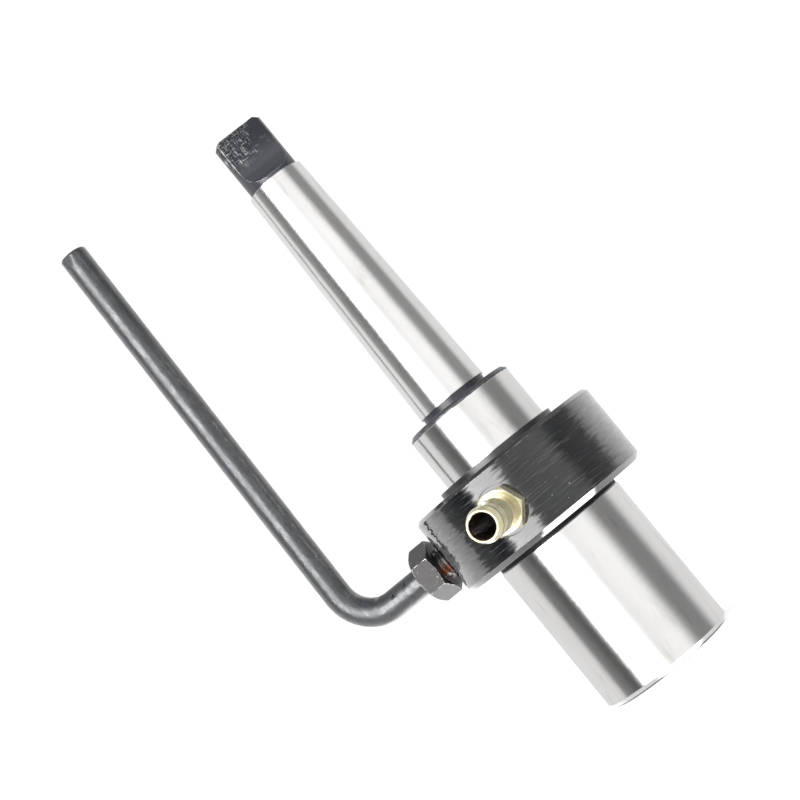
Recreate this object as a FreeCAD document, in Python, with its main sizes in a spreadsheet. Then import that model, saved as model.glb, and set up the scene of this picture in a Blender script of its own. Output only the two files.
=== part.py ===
"""Annular cutter arbor: a Morse taper shank with a socket for a straight-shank cutter, and a free-turning
coolant ring that an L-shaped rod keeps still.

Frame: +Z along the arbor's axis towards the tang, origin in the middle of the socket's end face.
The rod leaves the ring towards -X and the hose barb towards -Y.
Lengths are in millimetres, angles in degrees.
"""
import FreeCAD
import Part
import Sketcher
import math
import os

SQUARE = 90
HALF_TURN = 180

SIZES = [
    ("taper_gauge_diameter", 17.78, "Morse taper no. 2, diameter at the gauge line"),
    ("taper_rate", 0.04995, "change of diameter for each mm of length"),
    ("taper_setback", 5.0, "big end of the taper beyond the gauge line"),
    ("taper_length", 65.3, "big end to small end of the taper"),
    ("taper_end_bevel", 0.25, "length of the bevel between the small end and the tang"),
    ("tang_length", 14.7, "small end of the taper to the tang's tip"),
    ("tang_diameter", 13.2, "turned diameter of the tang"),
    ("tang_thickness", 6.3, "across the tang's two flats"),
    ("tang_flat_length", 9.2, "straight length of each flat"),
    ("tang_cutter_radius", 5.0, "radius of the run-out at the end of each flat"),
    ("tang_tip_bevel", 0.8, "bevel round the tang's tip"),
    ("tang_turn", 25.0, "direction of the first flat, from -Y towards +X"),
    ("centre_diameter", 3.2, "mouth of the centre hole in the tang's tip"),
    ("centre_angle", 60.0, "cone angle of the centre hole"),
    ("neck_diameter", 17.2, "relief between the taper and the journal"),
    ("neck_length", 1.7, "length of that relief"),
    ("journal_diameter", 28.0, "journal that carries the coolant ring"),
    ("journal_length", 37.0, "journal from the socket's shoulder to its top"),
    ("journal_bevel", 0.8, "bevel round the journal's top"),
    ("shoulder_step", 3.0, "socket's outside beyond the journal's"),
    ("socket_length", 39.6, "end face to shoulder"),
    ("socket_end_bevel", 1.3, "bevel round the socket's end face"),
    ("shoulder_bevel", 0.3, "bevel round the socket's shoulder"),
    ("bore_diameter", 19.05, "bore for the cutter's shank"),
    ("bore_depth", 36.0, "end face to the seat of the cutter's shank"),
    ("bore_bevel", 0.8, "bevel at the bore's mouth"),
    ("chamber_diameter", 10.0, "chamber of the ejector"),
    ("chamber_top", 98.0, "end face to the end of the chamber's wall"),
    ("drill_point_angle", 118.0, "cone angle at the chamber's end"),
    ("feed_diameter", 4.0, "holes that lead coolant into the chamber"),
    ("feed_turn", 45.0, "direction of the first feed hole"),
    ("screw_height", 19.0, "clamp screws above the end face"),
    ("screw_turn", 45.0, "clamp screws either side of +Y"),
    ("screw_diameter", 8.0, "thread of the clamp screws"),
    ("screw_sink", 1.275, "clamp screw's outer end below the socket's outside"),
    ("screw_retreat", 0.2, "clamp screw's point clear of the bore's wall"),
    ("screw_bevel", 0.6, "bevel at the outer end of a clamp screw"),
    ("screw_cup_diameter", 5.0, "cup point of a clamp screw"),
    ("screw_cup_depth", 1.0, "depth of that cup and of the bevel round it"),
    ("screw_key_size", 4.0, "across the flats of the key socket"),
    ("screw_clearance", 0.05, "radial clearance of a clamp screw in its hole"),
    ("washer_inset", 0.3, "thrust washer's outside within the socket's"),
    ("washer_thickness", 1.0, "thickness of the thrust washer"),
    ("washer_clearance", 0.15, "radial clearance of the washer on the journal"),
    ("ring_wall", 10.95, "wall of the coolant ring, bore to outside"),
    ("ring_height", 20.1, "height of the coolant ring"),
    ("ring_top_bevel", 0.85, "bevel round the ring's top"),
    ("ring_bottom_bevel", 1.3, "bevel round the ring's underside"),
    ("ring_bore_bevel", 0.5, "bevel at both ends of the ring's bore"),
    ("ring_clearance", 0.05, "radial running clearance of the ring"),
    ("ring_float", 0.06, "axial clearance at each end of the ring"),
    ("gallery_depth", 1.5, "depth of the coolant gallery in the ring's bore"),
    ("gallery_height", 7.0, "height of that gallery"),
    ("seal_cord", 1.72, "section of a seal as it sits in its groove"),
    ("seal_offset", 6.8, "seals above and below the ring's middle"),
    ("seal_groove_height", 2.5, "height of a seal's groove"),
    ("seal_clearance", 0.03, "seal to journal and to its groove's floor"),
    ("clip_thickness", 1.5, "outer circlip"),
    ("clip_groove_depth", 0.7, "depth of its groove in the journal"),
    ("clip_width_back", 3.2, "radial width opposite the gap"),
    ("clip_width_ears", 2.0, "radial width beside the gap"),
    ("clip_ear_radius", 2.3, "round ear at each end"),
    ("clip_ear_offset", 2.6, "ear centres beyond the groove's floor"),
    ("clip_ear_spread", 11.0, "ear centres either side of the gap's middle"),
    ("clip_eye_diameter", 2.0, "plier hole in an ear"),
    ("clip_gap", 2.6, "width of the gap"),
    ("clip_turn", 60.0, "direction of the gap, from +X towards +Y"),
    ("clip_play", 0.05, "axial clearance of a circlip in its groove, each side"),
    ("clip_clearance", 0.02, "radial clearance of a circlip over its groove's floor"),
    ("rod_diameter", 7.0, "stop rod"),
    ("rod_drop", 0.85, "rod below the ring's middle"),
    ("rod_offset", 28.25, "long leg's foot beyond the ring's outside"),
    ("rod_leg_length", 104.5, "straight length of the long leg"),
    ("rod_bend", 10.0, "radius of the bend at the rod's centre line"),
    ("rod_bend_angle", 91.0, "angle that the rod is bent through"),
    ("rod_tip_bevel", 0.4, "bevel round the rod's tip"),
    ("rod_tip_flat_length", 3.6, "flat pinched into the rod at its tip"),
    ("rod_tip_flat_slope", 9.5, "slope of that flat"),
    ("rod_tip_flat_turn", 12.0, "direction of that flat, from -Y towards -X"),
    ("rod_thread_diameter", 8.0, "thread on the short leg"),
    ("rod_thread_length", 9.4, "thread beyond the ring's seat"),
    ("rod_hole_depth", 6.5, "depth of the ring's hole for the rod"),
    ("rod_seat_diameter", 14.2, "spot-faced seat round that hole"),
    ("rod_seat_depth", 1.2, "depth of that seat"),
    ("thread_clearance", 0.02, "radial clearance of the fastened threads"),
    ("nut_flats", 12.7, "across the flats of the jam nut"),
    ("nut_thickness", 5.8, "thickness of the jam nut"),
    ("nut_standoff", 3.4, "jam nut away from the ring's seat"),
    ("nut_face_diameter", 12.1, "flat face left by the nut's bevels"),
    ("nut_bevel_angle", 30.0, "slope of the bevels at a hexagon's corners"),
    ("barb_thread_diameter", 8.0, "thread of the hose barb"),
    ("barb_thread_length", 6.0, "length of that thread"),
    ("barb_seat_clearance", 0.18, "spot-faced seat beyond the corners of the barb's hexagon"),
    ("barb_seat_depth", 0.7, "depth of that seat"),
    ("barb_port_diameter", 3.6, "port between the barb and the gallery"),
    ("barb_hex_flats", 9.9, "across the flats of the barb's hexagon"),
    ("barb_hex_height", 3.15, "height of that hexagon"),
    ("barb_hex_turn", 8.5, "hexagon turned from corners towards -X and +X"),
    ("barb_hex_face_diameter", 10.0, "flat face left by the bevel on it"),
    ("barb_length", 15.1, "hexagon to the barb's tip"),
    ("barb_tip_diameter", 7.0, "outside of the barb's tip"),
    ("barb_lip", 0.3, "flat rim of the tip"),
    ("barb_mouth_bevel", 0.2, "bevel inside that rim"),
    ("barb_nose_length", 2.8, "tip to the back edge of the first ridge"),
    ("barb_ridge_diameter", 8.25, "outside of a ridge"),
    ("barb_ridge_depth", 0.45, "step behind a ridge"),
    ("barb_ridge_count", 3.0, "ridges on the barb"),
    ("barb_ridge_pitch", 4.05, "distance between two ridges"),
    ("barb_ridge_land", 0.9, "flat top of a ridge"),
    ("barb_bore_depth", 17.0, "depth of that bore"),
    ("barb_throat_diameter", 4.0, "bore through the barb's thread"),
    ("inner_clip_inset", 0.8, "inner circlip above the seat of the cutter's shank"),
    ("inner_clip_thickness", 1.0, "inner circlip"),
    ("inner_clip_groove_depth", 0.2, "depth of its groove in the chamber's wall"),
    ("inner_clip_width", 1.3, "radial width of the inner circlip"),
    ("inner_clip_gap", 2.4, "width of its gap"),
    ("inner_clip_ear_radius", 1.0, "round ear at each end"),
    ("inner_clip_ear_spread", 27.0, "ear centres either side of the gap's middle"),
    ("inner_clip_eye_diameter", 0.9, "plier hole in an ear"),
    ("plunger_clearance", 0.05, "radial clearance of the ejector plunger"),
    ("plunger_head_length", 8.0, "guided length of the plunger"),
    ("plunger_flat_depth", 0.35, "depth of the flats that let coolant past"),
    ("plunger_spigot_diameter", 6.0, "spigot that centres the spring"),
    ("plunger_spigot_length", 3.0, "length of that spigot"),
    ("plunger_dimple_diameter", 5.0, "dimple for the head of the pilot pin"),
    ("plunger_dimple_depth", 1.4, "depth of that dimple"),
    ("spring_wire", 1.1, "wire of the ejector spring"),
    ("spring_clearance", 0.6, "radial clearance of the ejector spring in its chamber"),
    ("spring_turns", 10.0, "turns of the ejector spring"),
    ("spring_play", 0.05, "spring clear of its two seats"),
]

SPRING_SIDES = 12  # straight runs in one turn of the spring's path
SEAL_CORNER = 0.29  # flattened corner of a seal's section, as a share of its height

doc = FreeCAD.newDocument("cutter_arbor")
sheet = doc.addObject("Spreadsheet::Sheet", "sizes")


class Size:
    """A number together with the spreadsheet expression that gives it."""

    def __init__(self, text, value):
        self.text = text
        self.value = value

    def join(self, sign, other, value):
        right = other.text if isinstance(other, Size) else repr(other)
        return Size("(" + self.text + " " + sign + " " + right + ")", value)

    def __add__(self, other):
        return self.join("+", other, self.value + plain(other))

    def __sub__(self, other):
        return self.join("-", other, self.value - plain(other))

    def __mul__(self, other):
        return self.join("*", other, self.value * plain(other))

    def __rsub__(self, other):
        return Size("(" + repr(other) + " - " + self.text + ")", other - self.value)

    def __truediv__(self, other):
        return self.join("/", other, self.value / plain(other))

    def tangent(self):
        return Size("tan(" + self.text + ")", math.tan(math.radians(self.value)))

    def cosine(self):
        return Size("cos(" + self.text + ")", math.cos(math.radians(self.value)))


def plain(value):
    """The number behind a size, or the number itself."""
    return value.value if isinstance(value, Size) else value


def as_text(value):
    """The expression behind a size, or the number written out."""
    return value.text if isinstance(value, Size) else repr(value)


def fill_sheet():
    """Write every driving size into the sheet and return them by name."""
    named = {}
    for row, (name, value, meaning) in enumerate(SIZES, start=1):
        sheet.set("A" + str(row), meaning)
        sheet.set("B" + str(row), str(value))
        sheet.setAlias("B" + str(row), name)
        named[name] = Size("sizes." + name, value)
    doc.recompute()
    return named


size = fill_sheet()


def bind(target, prop, value):
    """Tie a property to a size, or set it to a plain number."""
    if isinstance(value, Size):
        target.setExpression(prop, value.text)
    else:
        setattr(target, prop, value)


def plane_of(body, role):
    return [part for part in body.Origin.OriginFeatures if part.Role == role][0]


def outline_sketch(body, name, corners):
    """A closed outline in the XZ plane; each corner is (distance from Z, height) in sizes."""
    sketch = body.newObject("Sketcher::SketchObject", name)
    sketch.AttachmentSupport = (plane_of(body, "XZ_Plane"), [""])
    sketch.MapMode = "FlatFace"
    spots = [FreeCAD.Vector(plain(across), plain(up), 0) for across, up in corners]
    count = len(spots)
    for index in range(count):
        sketch.addGeometry(Part.LineSegment(spots[index], spots[(index + 1) % count]), False)
    for index in range(count):
        sketch.addConstraint(Sketcher.Constraint("Coincident", index, 2, (index + 1) % count, 1))
    for index, (across, up) in enumerate(corners):
        for value, kind, axis in ((across, "DistanceX", -2), (up, "DistanceY", -1)):
            if plain(value) == 0:
                sketch.addConstraint(Sketcher.Constraint("PointOnObject", index, 1, axis))
                continue
            number = sketch.addConstraint(
                Sketcher.Constraint(kind, -1, 1, index, 1, plain(value)))
            if isinstance(value, Size):
                sketch.setExpression("Constraints[" + str(number) + "]", value.text)
    return sketch


def turned(name, corners):
    """A body turned about its own Z axis from an outline."""
    body = doc.addObject("PartDesign::Body", name)
    sketch = outline_sketch(body, name + "_outline", corners)
    turn = body.newObject("PartDesign::Revolution", name + "_turned")
    turn.Profile = sketch
    turn.ReferenceAxis = (sketch, ["V_Axis"])
    turn.Angle = 2 * HALF_TURN
    sketch.Visibility = False
    return body


def spin_text(axis, angle):
    return "rotation(vector(" + axis + "); " + as_text(angle) + ")"


def place(target, turn=0, shift=(0, 0, 0), tilt=0, spin=0):
    """Turn about Z, after a shift, after a tilt about Y, after a spin about the piece's own Z."""
    parts = [
        "placement(vector(0; 0; 0); " + spin_text("0; 0; 1", turn) + ")",
        "placement(vector(" + "; ".join(as_text(value) for value in shift) + "); "
        + spin_text("0; 1; 0", tilt) + ")",
        "placement(vector(0; 0; 0); " + spin_text("0; 0; 1", spin) + ")",
    ]
    target.setExpression("Placement", " * ".join(parts))


def cylinder(name, radius, length):
    rod = doc.addObject("Part::Cylinder", name)
    bind(rod, "Radius", radius)
    bind(rod, "Height", length)
    return rod


def radial_cylinder(name, radius, start, length, turn, height):
    """A cylinder pointing away from the arbor's axis, from start outwards."""
    rod = cylinder(name, radius, length)
    place(rod, turn=turn, shift=(start, 0, height), tilt=SQUARE)
    return rod


def block(name, length, width, height):
    box = doc.addObject("Part::Box", name)
    bind(box, "Length", length)
    bind(box, "Width", width)
    bind(box, "Height", height)
    return box


def hexagon_corner(across_flats):
    return across_flats / 2 / hexagon_half_angle.cosine()


def hexagon(name, across_flats, height):
    prism = doc.addObject("Part::Prism", name)
    prism.Polygon = 6
    bind(prism, "Circumradius", hexagon_corner(across_flats))
    bind(prism, "Height", height)
    return prism


def joined(name, pieces):
    fusion = doc.addObject("Part::MultiFuse", name)
    fusion.Shapes = pieces
    fusion.Refine = True
    return fusion


def without(name, base, tools):
    """The base with every tool cut away."""
    tool = tools[0] if len(tools) == 1 else joined(name + "_tools", tools)
    cut = doc.addObject("Part::Cut", name)
    cut.Base = base
    cut.Tool = tool
    cut.Refine = True
    return cut


def shared(name, first, second):
    common = doc.addObject("Part::Common", name)
    common.Base = first
    common.Tool = second
    common.Refine = True
    return common


hexagon_half_angle = Size("30", 30.0)

# Stations along the arbor's axis, from the socket's end face up
shoulder = size["socket_length"]
ring_bottom = shoulder + size["washer_thickness"] + size["ring_float"]
ring_top = ring_bottom + size["ring_height"]
ring_middle = ring_bottom + size["ring_height"] / 2
clip_bottom = ring_top + size["ring_float"]
clip_top = clip_bottom + size["clip_thickness"]
journal_top = shoulder + size["journal_length"]
taper_start = journal_top + size["neck_length"]
taper_end = taper_start + size["taper_length"]
tang_tip = taper_end + size["tang_length"]
inner_clip_bottom = size["bore_depth"] + size["inner_clip_inset"]
inner_clip_top = inner_clip_bottom + size["inner_clip_thickness"]
plunger_bottom = inner_clip_top + size["clip_play"]
plunger_shoulder = plunger_bottom + size["plunger_head_length"]

# Radii that more than one piece uses
journal_radius = size["journal_diameter"] / 2
ring_bore_radius = journal_radius + size["ring_clearance"]
ring_radius = ring_bore_radius + size["ring_wall"]
socket_radius = journal_radius + size["shoulder_step"]
clip_groove_radius = journal_radius - size["clip_groove_depth"]
bore_radius = size["bore_diameter"] / 2
chamber_radius = size["chamber_diameter"] / 2
plunger_radius = chamber_radius - size["plunger_clearance"]
inner_clip_groove_radius = chamber_radius + size["inner_clip_groove_depth"]
rod_seat = ring_radius - size["rod_seat_depth"]
rod_height = ring_middle - size["rod_drop"]
barb_seat = ring_radius - size["barb_seat_depth"]
barb_seat_radius = hexagon_corner(size["barb_hex_flats"]) + size["barb_seat_clearance"]
screw_hole_radius = size["screw_diameter"] / 2 + size["screw_clearance"]


def taper_radius(distance):
    """Radius of the taper at a distance from its big end."""
    big_end = size["taper_gauge_diameter"] + size["taper_rate"] * size["taper_setback"]
    return (big_end - size["taper_rate"] * distance) / 2


def make_arbor():
    """Tang, taper, journal and socket in one turned piece, with its bores, grooves and cross holes."""
    bevel = size["socket_end_bevel"]
    edge = size["shoulder_bevel"]
    tang_radius = size["tang_diameter"] / 2
    centre_radius = size["centre_diameter"] / 2
    centre_depth = centre_radius / (size["centre_angle"] / 2).tangent()
    point_depth = chamber_radius / (size["drill_point_angle"] / 2).tangent()
    play = size["clip_play"]
    blank = turned("arbor_blank", [
        (bore_radius + size["bore_bevel"], 0),
        (socket_radius - bevel, 0),
        (socket_radius, bevel),
        (socket_radius, shoulder - edge),
        (socket_radius - edge, shoulder),
        (journal_radius, shoulder),
        (journal_radius, clip_bottom - play),
        (clip_groove_radius, clip_bottom - play),
        (clip_groove_radius, clip_top + play),
        (journal_radius, clip_top + play),
        (journal_radius, journal_top - size["journal_bevel"]),
        (journal_radius - size["journal_bevel"], journal_top),
        (size["neck_diameter"] / 2, journal_top),
        (size["neck_diameter"] / 2, taper_start),
        (taper_radius(0), taper_start),
        (taper_radius(size["taper_length"] - size["taper_end_bevel"]), taper_end - size["taper_end_bevel"]),
        (tang_radius, taper_end),
        (tang_radius, tang_tip - size["tang_tip_bevel"]),
        (tang_radius - size["tang_tip_bevel"], tang_tip),
        (centre_radius, tang_tip),
        (0, tang_tip - centre_depth),
        (0, size["chamber_top"] + point_depth),
        (chamber_radius, size["chamber_top"]),
        (chamber_radius, inner_clip_top + play),
        (inner_clip_groove_radius, inner_clip_top + play),
        (inner_clip_groove_radius, inner_clip_bottom - play),
        (chamber_radius, inner_clip_bottom - play),
        (chamber_radius, size["bore_depth"]),
        (bore_radius, size["bore_depth"]),
        (bore_radius, size["bore_bevel"]),
    ])
    cutters = []
    flat_start = tang_tip - size["tang_flat_length"]
    reach = size["tang_diameter"]
    for side, half_turn in (("front", 0), ("back", HALF_TURN)):
        turn = size["tang_turn"] - SQUARE + half_turn
        mill = block("tang_mill_" + side, reach, reach * 2, size["tang_length"])
        place(mill, turn=turn, shift=(size["tang_thickness"] / 2, reach * -1, flat_start))
        runout = cylinder("tang_runout_" + side, size["tang_cutter_radius"], reach * 2)
        runout.setExpression("Placement", (
            "placement(vector(0; 0; 0); " + spin_text("0; 0; 1", turn) + ") * placement(vector("
            + as_text(size["tang_thickness"] / 2 + size["tang_cutter_radius"]) + "; " + as_text(reach)
            + "; " + as_text(flat_start) + "); " + spin_text("1; 0; 0", SQUARE) + ")"))
        cutters += [mill, runout]
    for number in range(2):
        cutters.append(radial_cylinder(
            "feed_drill_" + str(number), size["feed_diameter"] / 2, size["journal_diameter"] * -1,
            size["journal_diameter"] * 2, size["feed_turn"] + SQUARE * number, ring_middle))
    for side, sign in (("right", -1), ("left", 1)):
        cutters.append(radial_cylinder(
            "screw_drill_" + side, screw_hole_radius, 0, socket_radius * 2,
            size["screw_turn"] * sign + SQUARE, size["screw_height"]))
    return without("arbor_body", blank, cutters)


def make_washer():
    inner = journal_radius + size["washer_clearance"]
    outer = socket_radius - size["washer_inset"]
    top = shoulder + size["washer_thickness"]
    return turned("thrust_washer", [(inner, shoulder), (outer, shoulder), (outer, top), (inner, top)])


def make_ring():
    """The coolant ring: gallery and seal grooves in its bore, a hole for the rod and one for the barb."""
    top_bevel = size["ring_top_bevel"]
    low_bevel = size["ring_bottom_bevel"]
    bore_bevel = size["ring_bore_bevel"]
    corners = [
        (ring_bore_radius + bore_bevel, ring_bottom),
        (ring_radius - low_bevel, ring_bottom),
        (ring_radius, ring_bottom + low_bevel),
        (ring_radius, ring_top - top_bevel),
        (ring_radius - top_bevel, ring_top),
        (ring_bore_radius + bore_bevel, ring_top),
        (ring_bore_radius, ring_top - bore_bevel),
    ]
    seal_floor = journal_radius + size["seal_cord"] + size["seal_clearance"] * 2
    gallery_floor = ring_bore_radius + size["gallery_depth"]
    for middle, height, floor in (
            (ring_middle + size["seal_offset"], size["seal_groove_height"], seal_floor),
            (ring_middle, size["gallery_height"], gallery_floor),
            (ring_middle - size["seal_offset"], size["seal_groove_height"], seal_floor)):
        corners += [
            (ring_bore_radius, middle + height / 2),
            (floor, middle + height / 2),
            (floor, middle - height / 2),
            (ring_bore_radius, middle - height / 2),
        ]
    corners.append((ring_bore_radius, ring_bottom + bore_bevel))
    blank = turned("ring_blank", corners)
    thread = size["thread_clearance"]
    rod_hole = size["rod_thread_diameter"] / 2 + thread
    barb_hole = size["barb_thread_diameter"] / 2 + thread
    barb_hole_end = barb_seat - size["barb_thread_length"] - thread
    margin = ring_radius
    rod_hole_end = rod_seat - size["rod_hole_depth"]
    rod_seat_radius = size["rod_seat_diameter"] / 2
    barb_port = size["barb_port_diameter"] / 2
    cutters = [
        radial_cylinder("rod_drill", rod_hole, rod_hole_end, margin, HALF_TURN, rod_height),
        radial_cylinder("rod_spotface", rod_seat_radius, rod_seat, margin, HALF_TURN, rod_height),
        radial_cylinder("barb_drill", barb_hole, barb_hole_end, margin, -SQUARE, ring_middle),
        radial_cylinder("barb_spotface", barb_seat_radius, barb_seat, margin, -SQUARE, ring_middle),
        radial_cylinder("barb_port", barb_port, journal_radius, margin / 2, -SQUARE, ring_middle),
    ]
    return without("coolant_ring", blank, cutters)


def make_seal(name, side):
    """A seal in its groove, just clear of the journal, its section a square with flattened corners."""
    middle = ring_middle + size["seal_offset"] * side
    half = size["seal_cord"] / 2
    corner = size["seal_cord"] * SEAL_CORNER
    inner = journal_radius + size["seal_clearance"]
    outer = inner + size["seal_cord"]
    return turned(name, [
        (inner, middle - half + corner),
        (inner + corner, middle - half),
        (outer - corner, middle - half),
        (outer, middle - half + corner),
        (outer, middle + half - corner),
        (outer - corner, middle + half),
        (inner + corner, middle + half),
        (inner, middle + half - corner),
    ])


def make_outer_clip():
    """Outer circlip, widest opposite its gap, with an ear and a plier hole at each end."""
    wide = clip_groove_radius + size["clip_width_back"]
    narrow = clip_groove_radius + size["clip_width_ears"]
    height = size["clip_thickness"]
    turn = size["clip_turn"]
    disc = cylinder("clip_disc", (wide + narrow) / 2, height)
    place(disc, turn=turn, shift=((narrow - wide) / 2, 0, clip_bottom))
    solids = [disc]
    opening = cylinder("clip_inside", clip_groove_radius + size["clip_clearance"], height)
    ear_reach = clip_groove_radius + size["clip_ear_offset"]
    place(opening, shift=(0, 0, clip_bottom))
    gap = block("clip_gap_cut", ear_reach * 2, size["clip_gap"], height)
    place(gap, turn=turn, shift=(0, size["clip_gap"] / -2, clip_bottom))
    holes = [opening, gap]
    for side, sign in (("right", -1), ("left", 1)):
        ear_turn = turn + size["clip_ear_spread"] * sign
        ear = cylinder("clip_ear_" + side, size["clip_ear_radius"], height)
        place(ear, turn=ear_turn, shift=(ear_reach, 0, clip_bottom))
        solids.append(ear)
        eye = cylinder("clip_eye_" + side, size["clip_eye_diameter"] / 2, height)
        place(eye, turn=ear_turn, shift=(ear_reach, 0, clip_bottom))
        holes.append(eye)
    return without("outer_circlip", joined("clip_blank", solids), holes)


def make_inner_clip():
    """Inner circlip that keeps the plunger in its chamber."""
    height = size["inner_clip_thickness"]
    outside = inner_clip_groove_radius - size["clip_clearance"]
    inside = outside - size["inner_clip_width"]
    ear_reach = outside - size["inner_clip_ear_radius"] - size["inner_clip_width"] / 2
    rim = cylinder("inner_clip_rim", outside, height)
    place(rim, shift=(0, 0, inner_clip_bottom))
    opening = cylinder("inner_clip_inside", inside, height)
    place(opening, shift=(0, 0, inner_clip_bottom))
    band = without("inner_clip_band", rim, [opening])
    gap = block("inner_clip_gap_cut", size["chamber_diameter"], size["inner_clip_gap"], height)
    place(gap, shift=(0, size["inner_clip_gap"] / -2, inner_clip_bottom))
    solids = [band]
    holes = [gap]
    for side, sign in (("right", -1), ("left", 1)):
        ear_turn = size["inner_clip_ear_spread"] * sign
        ear = cylinder("inner_clip_ear_" + side, size["inner_clip_ear_radius"], height)
        place(ear, turn=ear_turn, shift=(ear_reach, 0, inner_clip_bottom))
        solids.append(ear)
        eye = cylinder("inner_clip_eye_" + side, size["inner_clip_eye_diameter"] / 2, height)
        place(eye, turn=ear_turn, shift=(ear_reach, 0, inner_clip_bottom))
        holes.append(eye)
    return without("inner_circlip", joined("inner_clip_blank", solids), holes)


def bevelled_hexagon(name, across_flats, start, height, face_diameter, both_ends):
    """A hexagonal blank about its own Z, its corners bevelled at the outer end or at both."""
    corner = hexagon_corner(across_flats)
    face = face_diameter / 2
    drop = (corner - face) * size["nut_bevel_angle"].tangent()
    prism = hexagon(name + "_prism", across_flats, height)
    prism.setExpression("Placement.Base.z", start.text)
    low = [(face, start), (corner, start + drop)] if both_ends else [(corner, start)]
    limit = turned(name + "_limit", [(0, start)] + low + [
        (corner, start + height - drop), (face, start + height), (0, start + height)])
    return shared(name, prism, limit)


def make_nut():
    """Jam nut on the rod's thread; its own Z runs out along the short leg."""
    start = rod_seat + size["nut_standoff"]
    blank = bevelled_hexagon("nut_blank", size["nut_flats"], start, size["nut_thickness"],
                             size["nut_face_diameter"], True)
    hole = cylinder("nut_hole", size["rod_thread_diameter"] / 2 + size["thread_clearance"], start * 2)
    nut = without("jam_nut", blank, [hole])
    place(nut, turn=HALF_TURN, shift=(0, 0, rod_height), tilt=SQUARE)
    return nut


def make_barb():
    """Hose barb: a thread, a hexagon, and ridges that slope towards the tip; bored from end to end."""
    hex_top = barb_seat + size["barb_hex_height"]
    tip = hex_top + size["barb_length"]
    ridge = size["barb_ridge_diameter"] / 2
    root = ridge - size["barb_ridge_depth"]
    tip_radius = size["barb_tip_diameter"] / 2
    mouth_bevel = size["barb_mouth_bevel"]
    mouth = tip_radius - size["barb_lip"]
    nose_bore = mouth - mouth_bevel
    thread = size["barb_thread_diameter"] / 2
    thread_end = barb_seat - size["barb_thread_length"]
    corners = [(0, thread_end), (thread, thread_end), (thread, hex_top), (root, hex_top)]
    count = int(size["barb_ridge_count"].value)
    for number in range(count - 1, -1, -1):
        edge = tip - size["barb_nose_length"] - size["barb_ridge_pitch"] * number
        corners += [(root, edge), (ridge, edge), (ridge, edge + size["barb_ridge_land"])]
    corners += [(tip_radius, tip), (mouth, tip), (nose_bore, tip - mouth_bevel), (0, tip - mouth_bevel)]
    stem = turned("barb_stem", corners)
    blank = bevelled_hexagon("barb_hexagon", size["barb_hex_flats"], barb_seat, size["barb_hex_height"],
                             size["barb_hex_face_diameter"], False)
    throat = cylinder("barb_throat", size["barb_throat_diameter"] / 2, tip)
    bore = cylinder("barb_bore", nose_bore, size["barb_bore_depth"])
    bore.setExpression("Placement.Base.z", (tip - size["barb_bore_depth"]).text)
    barb = without("hose_barb", joined("barb_blank", [stem, blank]), [throat, bore])
    spin = hexagon_half_angle - size["barb_hex_turn"]
    place(barb, turn=-SQUARE, shift=(0, 0, ring_middle), tilt=SQUARE, spin=spin)
    return barb


def make_rod():
    """Stop rod: one round bar, threaded at the ring, bent up once, with a flat pinched into its tip."""
    radius = size["rod_diameter"] / 2
    bend = size["rod_bend"]
    leg = size["rod_leg_length"]
    bevel = size["rod_tip_bevel"]
    thread_start = rod_seat - size["rod_hole_depth"] + size["thread_clearance"]
    thread_end = rod_seat + size["rod_thread_length"]
    bend_start = ring_radius + size["rod_offset"] - bend
    thread = radial_cylinder("rod_thread", size["rod_thread_diameter"] / 2, thread_start,
                             thread_end - thread_start, HALF_TURN, rod_height)
    short_leg = radial_cylinder("rod_short_leg", radius, thread_end, bend_start - thread_end, HALF_TURN,
                                rod_height)
    bend_centre = (
        "placement(vector(" + as_text(bend_start * -1) + "; 0; " + as_text(rod_height + bend) + "); "
        + spin_text("0; 1; 0", size["rod_bend_angle"] - SQUARE) + ")")
    elbow = doc.addObject("Part::Torus", "rod_elbow")
    bind(elbow, "Radius1", bend)
    bind(elbow, "Radius2", radius)
    bind(elbow, "Angle3", size["rod_bend_angle"])
    elbow.setExpression("Placement", (
        bend_centre + " * placement(vector(0; 0; 0); " + spin_text("0; 1; 0", SQUARE - size["rod_bend_angle"])
        + " * " + spin_text("0; 0; 1", HALF_TURN) + " * " + spin_text("0; 1; 0", SQUARE) + " * "
        + spin_text("1; 0; 0", SQUARE) + ")"))
    bar = turned("rod_leg_bar", [(0, 0), (radius, 0), (radius, leg - bevel), (radius - bevel, leg), (0, leg)])
    pinch = block("rod_tip_flat", radius, radius * 4, size["rod_tip_flat_length"] * 2)
    pinch.setExpression("Placement", (
        "placement(vector(0; 0; 0); " + spin_text("0; 0; 1", (size["rod_tip_flat_turn"] + SQUARE) * -1)
        + ") * placement(vector(" + as_text(radius) + "; " + as_text(radius * -2) + "; "
        + as_text(leg - size["rod_tip_flat_length"]) + "); "
        + spin_text("0; 1; 0", size["rod_tip_flat_slope"] * -1) + ")"))
    long_leg = without("rod_long_leg", bar, [pinch])
    long_leg.setExpression("Placement", bend_centre + " * placement(vector(" + as_text(bend * -1)
                           + "; 0; 0); rotation(vector(0; 0; 1); 0))")
    return joined("stop_rod", [thread, short_leg, elbow, long_leg])


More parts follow.
